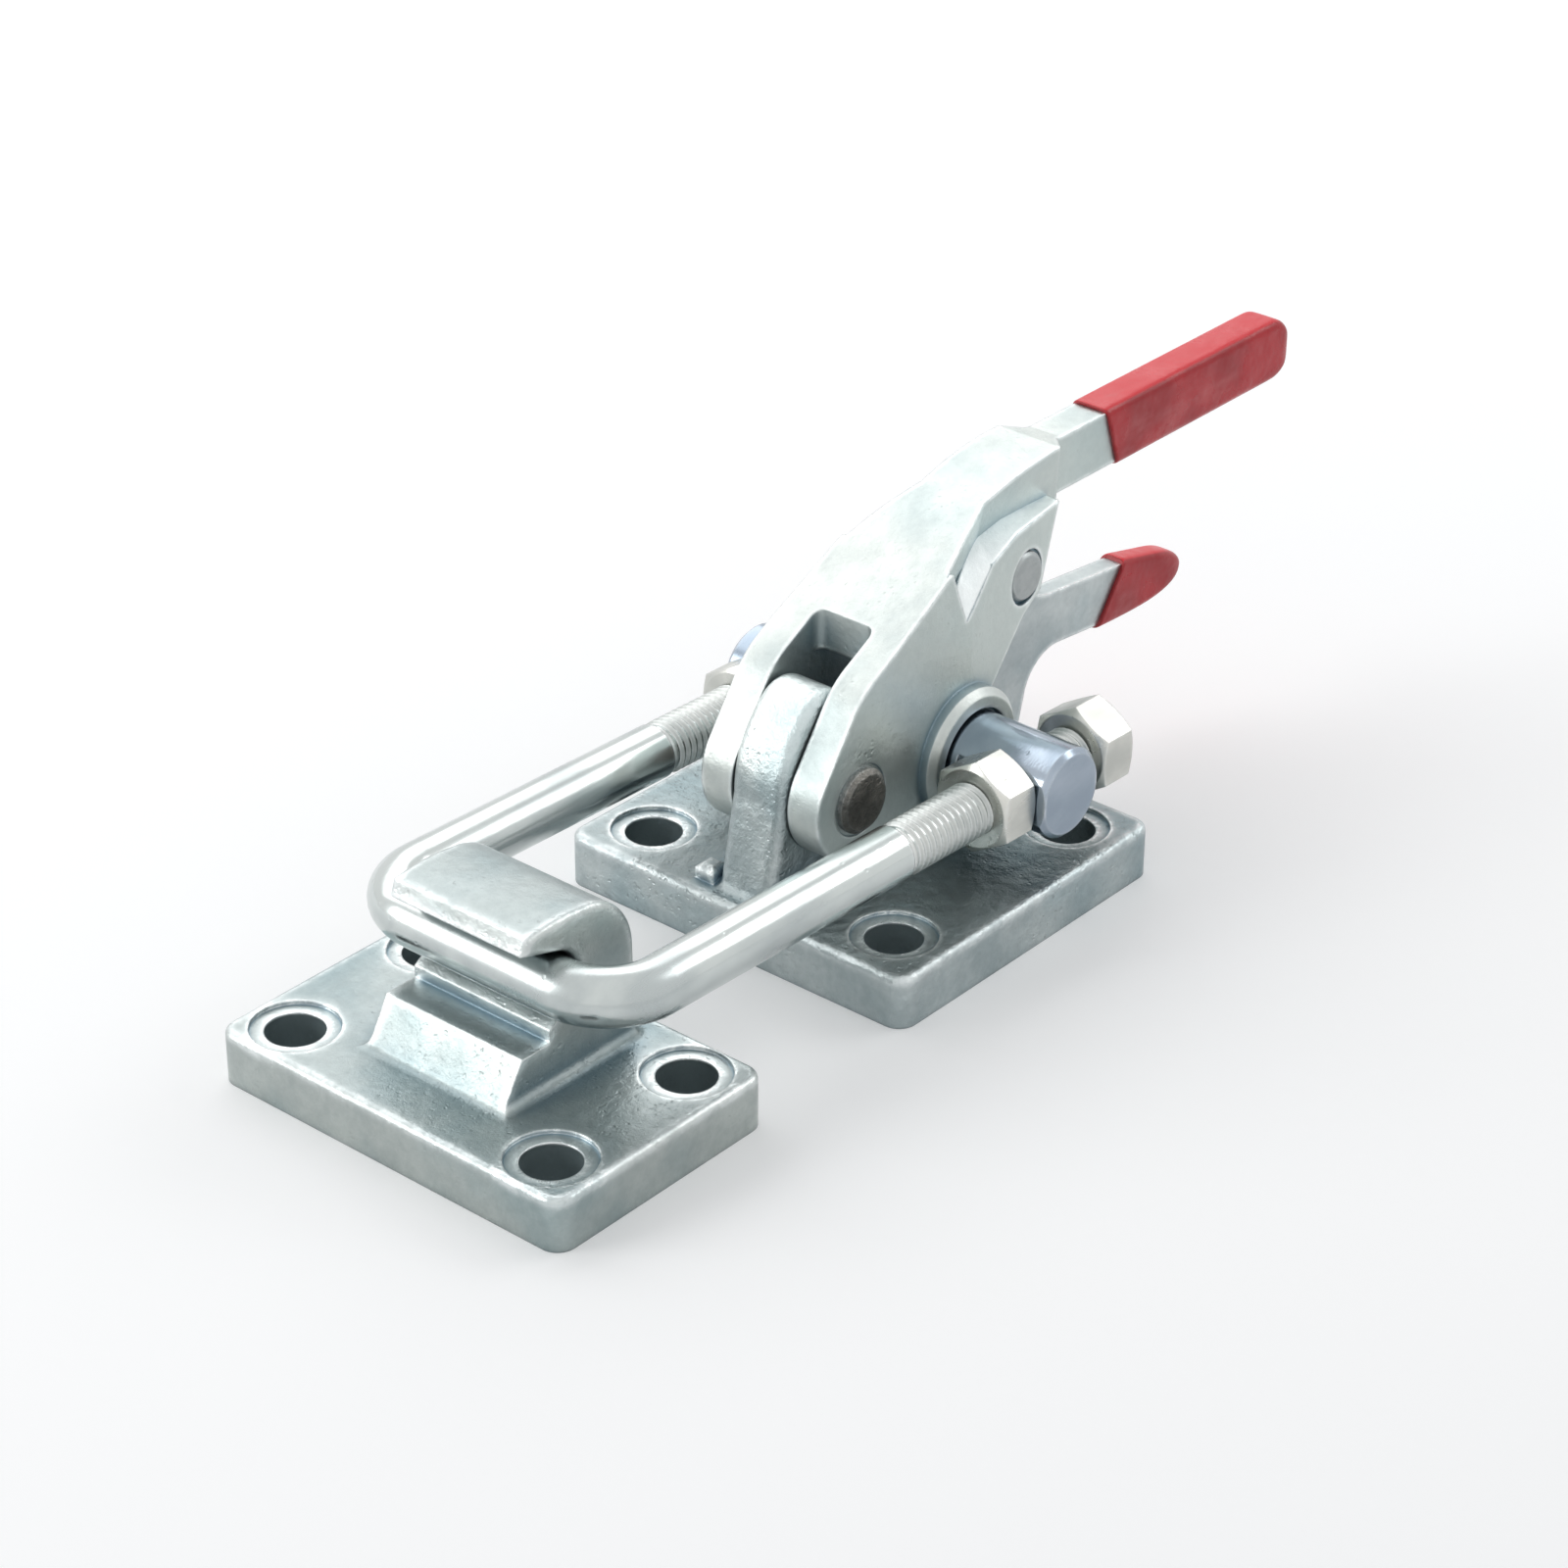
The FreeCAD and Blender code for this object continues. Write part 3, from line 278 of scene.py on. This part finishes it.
def cast_zinc(name, light, dark, rough, pits, metal=0.9, depth=0.22 * MM, lumps=0.5,
              reach=1.4 * MM, wear_and_highlight=0.7, mottle=0.3, clouds=0.8, shade=1.0, face_shading=None,
              holes=None, lit_crown=None):
    """Satin zinc on a steel casting: cloudy, pitted, with painted shade in corners and recesses,
    and worn edges lightened by a painted highlight.

    face_shading gives an axis and the colour of the faces that look along it, a painted shade
    that darkens them. holes gives the middle, half length and half width of a bolt pattern whose
    holes are darker and rougher inside, and whose plate's edges are neither worn nor lightened
    along its foot. lit_crown gives two heights and the lighter colour above them, a painted
    highlight on the casting's highest parts.
    """
    made, tree, shader = start_material(name)
    skin = place_group(tree, CAST_SKIN, Pits=pits, Lumps=lumps)
    edge = place_group(tree, EDGE_WEAR_AND_HIGHLIGHT, Radius=0.7 * MM, Reach=reach)
    corner = place_group(tree, CREVICE)
    place = object_place(tree)
    up = add(tree, "SeparateXYZ", {0: place}).outputs["Z"]
    tone = add(tree, "TexNoise", {"Vector": place, "Scale": 27.0, "Detail": 3.0}).outputs["Fac"]
    speck = add(tree, "TexNoise", {"Vector": place, "Scale": 430.0, "Detail": 5.0,
                                   "Roughness": 0.7}).outputs["Fac"]
    colour = blend_colours(tree, between(tree, skin["Cloud"], 0.34, 0.66), dark, light)
    # Painted shade: faces that look along the axis take a darker colour
    if face_shading:
        axis, smooth = face_shading
        face_shade = blend_colours(tree, between(tree, skin["Cloud"], 0.30, 0.70, 0.35, 0.0),
                             smooth, dark)
        colour = blend_colours(tree, turned_to(tree, axis), colour, face_shade)
    # Painted highlight: the casting is lighter above the given heights
    if lit_crown:
        low, high, crown_highlight = lit_crown
        uneven = maths(tree, "MULTIPLY_ADD", skin["Cloud"], 16 * MM, up)
        colour = blend_colours(tree, between(tree, uneven, low, high), colour, crown_highlight)
    colour = blend_colours(tree, between(tree, tone, 0.44, 0.66, 0.0, clouds), colour,
                           BLUE_CLOUD, "MULTIPLY")
    colour = blend_colours(tree, between(tree, speck, 0.34, 0.66, 0.0, mottle), colour,
                           GREY_SPECK, "MULTIPLY")
    colour = blend_colours(tree, maths(tree, "MULTIPLY", skin["Pit"], 0.25), colour, PIT_GREY)
    # Painted shade: darker in corners, deep blue in the piece's own recesses
    colour = blend_colours(tree, maths(tree, "MULTIPLY", corner["Shade"], 0.60 * shade), colour,
                           CORNER_SHADE)
    colour = blend_colours(tree, maths(tree, "MULTIPLY", corner["Recess"], 0.85 * shade),
                           colour, RECESS_SHADE_BLUE)
    # Worn edges, lightened by a painted highlight
    bright = maths(tree, "MULTIPLY", edge["Wear and highlight"], wear_and_highlight)
    if holes:
        bright = maths(tree, "MULTIPLY", bright, between(tree, up, 3 * MM, 9 * MM))
    colour = blend_colours(tree, bright, colour, WORN_CAST_HIGHLIGHT)
    satin = between(tree, skin["Cloud"], 0.3, 0.7, rough + 0.07, rough - 0.06)
    satin = maths(tree, "MULTIPLY_ADD", edge["Wear and highlight"], -0.14, satin)
    if holes:
        bare = tree.nodes.new("ShaderNodeGroup")
        bare.node_tree = BOLT_HOLES
        for socket, value in zip(bare.inputs, holes):
            socket.default_value = value
        inside = bare.outputs["Inside"]
        colour = blend_colours(tree, inside, colour, HOLE_GREY)
        satin = maths(tree, "MULTIPLY_ADD", inside, 0.3, satin)
    tree.links.new(colour, shader["Base Color"])
    tree.links.new(satin, shader["Roughness"])
    shader["Metallic"].default_value = metal
    tree.links.new(rough_normal(tree, skin["Height"], depth, edge["Normal"]), shader["Normal"])
    return made


def drawn_zinc(name, light, dark, rough, edge_width=0.5 * MM, shade=0.6):
    """Bright zinc on drawn bar: fine streaks, small nicks, painted shade in corners, and worn
    edges lightened by a painted highlight.
    """
    made, tree, shader = start_material(name)
    rod = place_group(tree, DRAWN_ROD)
    edge = place_group(tree, EDGE_WEAR_AND_HIGHLIGHT, Radius=edge_width, Reach=edge_width * 2)
    corner = place_group(tree, CREVICE)
    colour = blend_colours(tree, between(tree, rod["Cloud"], 0.33, 0.66), dark, light)
    # Painted shade in corners
    colour = blend_colours(tree, maths(tree, "MULTIPLY", corner["Shade"], shade), colour,
                           BAR_CORNER_SHADE)
    # Worn edges, lightened by a painted highlight
    colour = blend_colours(tree, maths(tree, "MULTIPLY", edge["Wear and highlight"], 0.5), colour, WORN_BAR_HIGHLIGHT)
    tree.links.new(colour, shader["Base Color"])
    polish = between(tree, rod["Cloud"], 0.3, 0.7, rough + 0.08, rough - 0.05)
    polish = maths(tree, "MULTIPLY_ADD", rod["Streak"], 0.08, polish)
    tree.links.new(polish, shader["Roughness"])
    shader["Metallic"].default_value = 1.0
    tree.links.new(rough_normal(tree, rod["Height"], 0.06 * MM, edge["Normal"]),
                   shader["Normal"])
    return made


def dipped_vinyl(name):
    """Soft red dip: slightly uneven, with a dull sheen, a lighter painted top, pale patches of
    painted sheen and worn edges lightened by a painted highlight.
    """
    made, tree, shader = start_material(name)
    place = object_place(tree)
    cloud = add(tree, "TexNoise", {"Vector": place, "Scale": 70.0, "Detail": 4.0}).outputs["Fac"]
    wave = add(tree, "TexNoise", {"Vector": place, "Scale": 130.0, "Detail": 2.0}).outputs["Fac"]
    grain = add(tree, "TexNoise", {"Vector": place, "Scale": 2400.0,
                                   "Detail": 2.0}).outputs["Fac"]
    sheen_patches = add(tree, "TexNoise", {"Vector": object_place(tree, (0.35, 1, 1)), "Scale": 90.0,
                                  "Detail": 5.0, "Roughness": 0.6}).outputs["Fac"]
    edge = place_group(tree, EDGE_WEAR_AND_HIGHLIGHT, Radius=0.9 * MM)
    colour = blend_colours(tree, between(tree, cloud, 0.35, 0.68), DEEP_RED, CLEAN_RED)
    # Painted light: faces that look up take a lighter red
    colour = blend_colours(tree, turned_to(tree, 2), colour, LIT_TOP_RED)
    # Painted sheen: pale streaky patches
    colour = blend_colours(tree, between(tree, sheen_patches, 0.50, 0.72, 0.0, 0.35), colour, RED_SHEEN_PAINT)
    # Worn edges, lightened by a painted highlight
    colour = blend_colours(tree, maths(tree, "MULTIPLY", edge["Wear and highlight"], 0.12), colour, WORN_RED_HIGHLIGHT)
    tree.links.new(colour, shader["Base Color"])
    tree.links.new(between(tree, cloud, 0.3, 0.7, 0.36, 0.24), shader["Roughness"])
    shader["Specular IOR Level"].default_value = 0.35
    height = maths(tree, "MULTIPLY_ADD", grain, 0.06, wave)
    tree.links.new(rough_normal(tree, height, 0.5 * MM, edge["Normal"]), shader["Normal"])
    return made


ZINC = {
    "handle": cast_zinc("handle zinc", (0.67, 0.70, 0.67, 1), (0.56, 0.60, 0.585, 1),
                        rough=0.44, pits=0.5, mottle=0.15, clouds=0.5,
                        face_shading=(1, (0.55, 0.61, 0.59, 1))),
    "base": cast_zinc("base zinc", (0.52, 0.57, 0.57, 1), (0.37, 0.43, 0.44, 1), rough=0.34,
                      pits=0.5, depth=0.58 * MM, lumps=1.5, reach=3 * MM, wear_and_highlight=1.0,
                      face_shading=(2, (0.33, 0.38, 0.385, 1)), holes=(0.0, 30.5 * MM, 34.5 * MM),
                      lit_crown=(44 * MM, 54 * MM, (0.78, 0.82, 0.80, 1))),
    "catch": cast_zinc("catch zinc", (0.50, 0.54, 0.52, 1), (0.40, 0.44, 0.43, 1), rough=0.36,
                       pits=0.4, depth=0.3 * MM, lumps=0.8, reach=3 * MM, wear_and_highlight=1.0,
                       face_shading=(2, (0.36, 0.405, 0.405, 1)),
                       holes=(-119 * MM, 20 * MM, 36.2 * MM)),
    "rod": drawn_zinc("U-bolt zinc", (0.58, 0.62, 0.61, 1), (0.46, 0.50, 0.50, 1), rough=0.16),
    "trunnion": drawn_zinc("trunnion zinc", (0.40, 0.46, 0.53, 1), (0.30, 0.36, 0.43, 1),
                           rough=0.13),
    "nut": drawn_zinc("nut zinc", (0.70, 0.70, 0.655, 1), (0.52, 0.53, 0.50, 1), rough=0.24),
    "thread": drawn_zinc("thread zinc", (0.58, 0.60, 0.58, 1), (0.46, 0.49, 0.48, 1),
                         rough=0.32, edge_width=0.25 * MM, shade=0.3),
    "lever": cast_zinc("trigger zinc", (0.52, 0.57, 0.57, 1), (0.41, 0.46, 0.47, 1),
                       rough=0.38, pits=0.25, depth=0.12 * MM, lumps=0.2),
}
PIN_STEEL = cast_zinc("pin steel", (0.30, 0.28, 0.25, 1), (0.09, 0.085, 0.075, 1),
                      rough=0.40, pits=0.5, metal=0.85, depth=1.2 * MM, lumps=0.8, wear_and_highlight=0.5,
                      mottle=0.9)
# Painted highlight: a much lighter copy of the handle's zinc, without painted shade, for the
# ledge's sloping band
LIT_LEDGE_ZINC = cast_zinc("lit ledge zinc", (0.92, 0.96, 0.96, 1), (0.82, 0.87, 0.87, 1), rough=0.40,
                       pits=0.3, mottle=0.1, clouds=0.2, shade=0.0)
TRIGGER_PIN_ZINC = cast_zinc("trigger pin zinc", (0.44, 0.46, 0.46, 1),
                             (0.34, 0.37, 0.37, 1), rough=0.42, pits=0.3, depth=0.1 * MM,
                             wear_and_highlight=0.4)
SPRING_WIRE = drawn_zinc("spring wire", (0.42, 0.42, 0.43, 1), (0.30, 0.31, 0.32, 1),
                         rough=0.28, edge_width=0.1 * MM)
BRONZE = drawn_zinc("bush bronze", (0.62, 0.47, 0.27, 1), (0.48, 0.35, 0.19, 1), rough=0.32)
RED_DIP = dipped_vinyl("red dip")

FINISHES = {
    "base_plate": ZINC["base"], "catch_plate": ZINC["catch"],
    "handle": ZINC["handle"], "handle_grip": RED_DIP, "trigger_grip": RED_DIP,
    "main_pin": PIN_STEEL, "trigger_pin": TRIGGER_PIN_ZINC, "trigger_spacer": PIN_STEEL,
    "spring_pin": PIN_STEEL, "trigger_spring": SPRING_WIRE, "pivot_bushing": BRONZE,
    "trunnion": ZINC["trunnion"], "u_bolt": ZINC["rod"],
    "front_nut_near": ZINC["nut"], "front_nut_far": ZINC["nut"],
    "back_nut_near": ZINC["nut"], "back_nut_far": ZINC["nut"],
    "trigger_lever": ZINC["lever"],
}
for label, finish in FINISHES.items():
    for material_slot in NODES[label].material_slots:
        material_slot.material = finish


# Pieces made here
def keep_piece(mesh, name, body, finish):
    """Turns a finished bmesh into a piece that rides on a body."""
    bmesh.ops.recalc_face_normals(mesh, faces=mesh.faces)
    data = bpy.data.meshes.new(name)
    mesh.to_mesh(data)
    mesh.free()
    data.materials.append(finish)
    piece = bpy.data.objects.new(name, data)
    bpy.context.scene.collection.objects.link(piece)
    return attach(piece, body)


def rolled_thread(name, side):
    """The thread ridge of one U-bolt arm: its profile is spun along the arm's axis."""
    mesh = bmesh.new()
    start = -THREAD_REACH
    turns = int((THREAD_REACH + ARM_END) / THREAD_PITCH) - 1
    steps = 30
    # Fractions of the pitch, each with its distance from the axis
    profile = [
        (0.00, THREAD_ROOT - 0.15 * MM), (0.10, THREAD_ROOT), (0.44, THREAD_CREST),
        (0.56, THREAD_CREST), (0.90, THREAD_ROOT), (1.00, THREAD_ROOT - 0.15 * MM)]
    points = [mesh.verts.new((start + along * THREAD_PITCH, 0, radius))
              for along, radius in profile]
    ring = mesh.faces.new(points)
    bmesh.ops.spin(
        mesh, geom=[ring], cent=(0, 0, 0), axis=(1, 0, 0), angle=2 * pi * turns,
        dvec=(THREAD_PITCH / steps, 0, 0), steps=steps * turns, use_merge=False)
    for vertex in mesh.verts:
        # The first turn rises out of the rod, the last one dies away at the chamfer
        run_in = (vertex.co.x - start) / (THREAD_PITCH * 1.5)
        run_out = (ARM_END - vertex.co.x) / (1.4 * MM)
        rise = max(0.0, min(1.0, run_in, run_out))
        radius = Vector((vertex.co.y, vertex.co.z)).length
        wanted = min(radius, THREAD_ROOT - 0.05 * MM + rise * (THREAD_CREST - THREAD_ROOT))
        vertex.co.y *= wanted / radius
        vertex.co.z *= wanted / radius
    turn = Matrix.Rotation(DRAW_TILT, 4, "Y")
    bmesh.ops.transform(mesh, matrix=Matrix.Translation(
        TRUNNION + Vector((0, side * ARM_OFFSET, 0))) @ turn, verts=mesh.verts)
    keep_piece(mesh, name, "draw_bar", ZINC["thread"])


rolled_thread("thread_near", -1)
rolled_thread("thread_far", 1)


def carried_section(rings):
    """A closed form whose section goes from ring to ring, its two ends filled.

    A ring is a list of points in millimetres. One grid holds them all, a row to a ring, and
    each row is joined into a loop.
    """
    mesh = bmesh.new()
    rows, around = len(rings) - 1, len(rings[0])
    bmesh.ops.create_grid(mesh, x_segments=rows, y_segments=around, size=0.5)
    for vertex in mesh.verts:
        row = round((vertex.co.x + 0.5) * rows)
        vertex.co = rings[row][round((vertex.co.y + 0.5) * around) % around] * MM
    bmesh.ops.remove_doubles(mesh, verts=mesh.verts, dist=0.01 * MM)
    bmesh.ops.holes_fill(mesh, edges=mesh.edges, sides=0)
    for face in mesh.faces:
        face.smooth = True
    return mesh


def rounded_box(top, foot, half, edge):
    """The points of a rounded box section between its top and foot, each given as (x, z)."""
    up = Vector((top[0] - foot[0], 0, top[1] - foot[1]))
    middle = Vector((top[0] + foot[0], 0, top[1] + foot[1])) / 2
    tall = up.length / 2
    bend = min(edge, tall * 0.85, half * 0.85)
    points = []
    for corner, (side, rise) in enumerate(((1, 1), (-1, 1), (-1, -1), (1, -1))):
        for step in range(0, 91, 18):
            angle = radians(90 * corner + step)
            out = side * (half - bend) + bend * cos(angle)
            high = rise * (tall - bend) + bend * sin(angle)
            points.append(middle + Vector((0, out, 0)) + up.normalized() * high)
    return points


def dipped_sleeve(name, node, body, stations, edge):
    """A dipped sleeve in the place of its plain node; a station is (top, foot, half width)."""
    mesh = carried_section([rounded_box(*station, edge) for station in stations])
    piece = keep_piece(mesh, name, body, RED_DIP)
    smooth = piece.modifiers.new("smooth", "SUBSURF")
    smooth.levels = smooth.render_levels = 2
    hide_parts(node)


def grip_stations():
    """Round the bar: a slanted rim, the straight run, then a nose rounded every way."""
    low, high, half = 72.4, 88.0, 5.4
    nose, nose_reach, nose_round = 146.4, 7.5, 3.4
    tip_low, tip_high = 79.6, 80.2
    stations = [((80.5, high - 0.7), (85.3, low + 0.7), half - 0.7),
                ((80.0, high - 0.35), (84.9, low + 0.35), half - 0.35),
                ((80.1, high), (85.0, low), half),
                ((81.2, high), (86.0, low), half),
                ((98.0, high), (100.0, low), half),
                ((122.0, high), (122.0, low), half),
                ((138.0, high), (138.0, low), half)]
    for degrees in range(0, 90, 11):
        turn = radians(degrees)
        ahead = nose_reach * sin(turn)
        past = max(0.0, ahead - nose_reach + nose_round) / nose_round
        stations.append(((nose + ahead, tip_high + (high - tip_high) * cos(turn)),
                         (nose + ahead, tip_low + (low - tip_low) * cos(turn)),
                         half - nose_round + nose_round * (1 - past * past) ** 0.5))
    return stations


dipped_sleeve("handle_sleeve", "handle_grip", "handle", grip_stations(), 2.3)
# The trigger's tail: a slanted rim, then down and back to its round end
dipped_sleeve("trigger_sleeve", "trigger_grip", "trigger", [
    ((92.5, 44.2), (83.3, 31.0), 2.9),
    ((92.3, 44.6), (82.7, 30.7), 3.25),
    ((92.6, 45.0), (82.6, 30.3), 3.5),
    ((93.6, 44.8), (84.0, 30.2), 3.5),
    ((100.0, 43.2), (94.0, 29.6), 3.5),
    ((105.5, 41.9), (102.5, 29.4), 3.5),
    ((110.0, 40.8), (108.0, 29.9), 3.5),
    ((113.4, 39.1), (112.2, 31.0), 3.5),
    ((115.4, 37.2), (114.6, 32.6), 3.2),
    ((116.1, 35.8), (115.9, 34.2), 2.0),
], 2.0)


def ear_fillet(name, side):
    """The sloping ledge that the casting keeps between the neck's side and the ear."""
    rings = []
    # In millimetres: how far along, the ledge's height, the half widths of neck and ear, and
    # how far the slope rises from the ear to the neck
    for x, ledge, neck, ear, rise in (
            (15.6, 61.2, 12.4, 15.3, 3.6), (17.0, 62.5, 12.0, 15.15, 5.6),
            (19.5, 64.9, 11.2, 14.9, 5.8), (22.5, 67.9, 9.8, 14.55, 4.0),
            (26.0, 71.2, 8.5, 14.15, 3.0), (29.0, 72.8, 7.7, 13.8, 2.5),
            (33.0, 73.8, 7.3, 13.25, 2.3), (38.0, 75.1, 7.0, 12.5, 2.0),
            (44.0, 75.3, 6.8, 11.7, 1.6), (50.0, 75.5, 6.6, 10.95, 1.1),
            (56.0, 75.7, 6.4, 10.15, 0.5)):
        profile = ((neck - 2.0, ledge - 1.0), (ear - 0.5, ledge - 1.0), (ear - 0.12, ledge - 0.1),
                   (ear - 0.3, ledge + 0.25), (neck + 1.0, ledge + rise * 0.78),
                   (neck - 0.4, ledge + rise), (neck - 2.0, ledge + rise - 1.0))
        rings.append([Vector((x, side * y, z)) for y, z in profile])
    mesh = carried_section(rings)
    sharp = radians(32)
    for edge in mesh.edges:
        edge.smooth = edge.calc_face_angle(0.0) < sharp
    keep_piece(mesh, name, "handle", LIT_LEDGE_ZINC)


ear_fillet("ear_fillet_near", -1)
ear_fillet("ear_fillet_far", 1)


# Studio
LATCH_MIDDLE = Vector((0, 0, 30 * MM))


def white_to_camera(tree):
    """1 where the camera, a reflection or glass looks straight at the background."""
    path = add(tree, "LightPath").outputs
    seen = maths(tree, "MAXIMUM", path["Is Camera Ray"], path["Is Glossy Ray"])
    return maths(tree, "MAXIMUM", seen, path["Is Transmission Ray"])


def studio_world():
    world = bpy.data.worlds.new("studio")
    bpy.context.scene.world = world
    world.use_nodes = True
    tree = world.node_tree
    tree.nodes.clear()
    level = blend_colours(tree, white_to_camera(tree), SKY_GREY, WHITE)
    light = add(tree, "Background", {"Color": level, "Strength": 1.0})
    out = add(tree, "OutputWorld")
    tree.links.new(light.outputs[0], out.inputs["Surface"])


def studio_floor():
    mesh = bmesh.new()
    bmesh.ops.create_grid(mesh, x_segments=1, y_segments=1, size=3.0)
    data = bpy.data.meshes.new("floor")
    mesh.to_mesh(data)
    mesh.free()
    floor = bpy.data.objects.new("floor", data)
    bpy.context.scene.collection.objects.link(floor)
    made, tree, shader = start_material("pale floor")
    lift = blend_colours(tree, white_to_camera(tree), BLACK, FLOOR_LIFT)
    tree.links.new(lift, shader["Emission Color"])
    shader["Emission Strength"].default_value = 1.0
    shader["Base Color"].default_value = FLOOR_GREY
    shader["Roughness"].default_value = 0.9
    shader["Specular IOR Level"].default_value = 0.1
    data.materials.append(made)


def softbox(name, spot, size, power):
    """A soft lamp of a size in metres and a power in watts, turned to the latch."""
    lamp = bpy.data.lights.new(name, "AREA")
    lamp.shape = "RECTANGLE"
    lamp.size, lamp.size_y = size
    lamp.energy = power
    holder = bpy.data.objects.new(name, lamp)
    spot = Vector(spot)
    holder.location = spot
    holder.rotation_euler = (LATCH_MIDDLE - spot).to_track_quat("-Z", "Y").to_euler()
    bpy.context.scene.collection.objects.link(holder)


def fitted_camera():
    """The camera as it was fitted to the photograph: its lens, its place and its aim."""
    sensor = 36.0
    focal_pixels, picture_pixels = 4261.2, 1600
    looks_down, heading = 29.59, -49.14
    camera = bpy.data.cameras.new("camera")
    camera.sensor_width = sensor
    camera.lens = focal_pixels / picture_pixels * sensor
    camera.shift_x = 0.0210
    camera.shift_y = -0.0045
    camera.clip_start = 10 * MM
    eye = bpy.data.objects.new("camera", camera)
    eye.location = (-0.62416, -0.50766, 0.48193)
    eye.rotation_euler = (radians(90 - looks_down), 0, radians(heading))
    bpy.context.scene.collection.objects.link(eye)
    bpy.context.scene.camera = eye


studio_world()
studio_floor()
softbox("back_softbox", (0.30, 0.80, 0.90), (1.8, 0.9), 6.6)
softbox("left_softbox", (-0.95, 0.68, 0.45), (0.6, 0.6), 4.0)
softbox("front_softbox", (0.80, -0.45, 0.75), (0.6, 0.4), 2.0)
fitted_camera()
bpy.context.scene.view_settings.view_transform = "Standard"
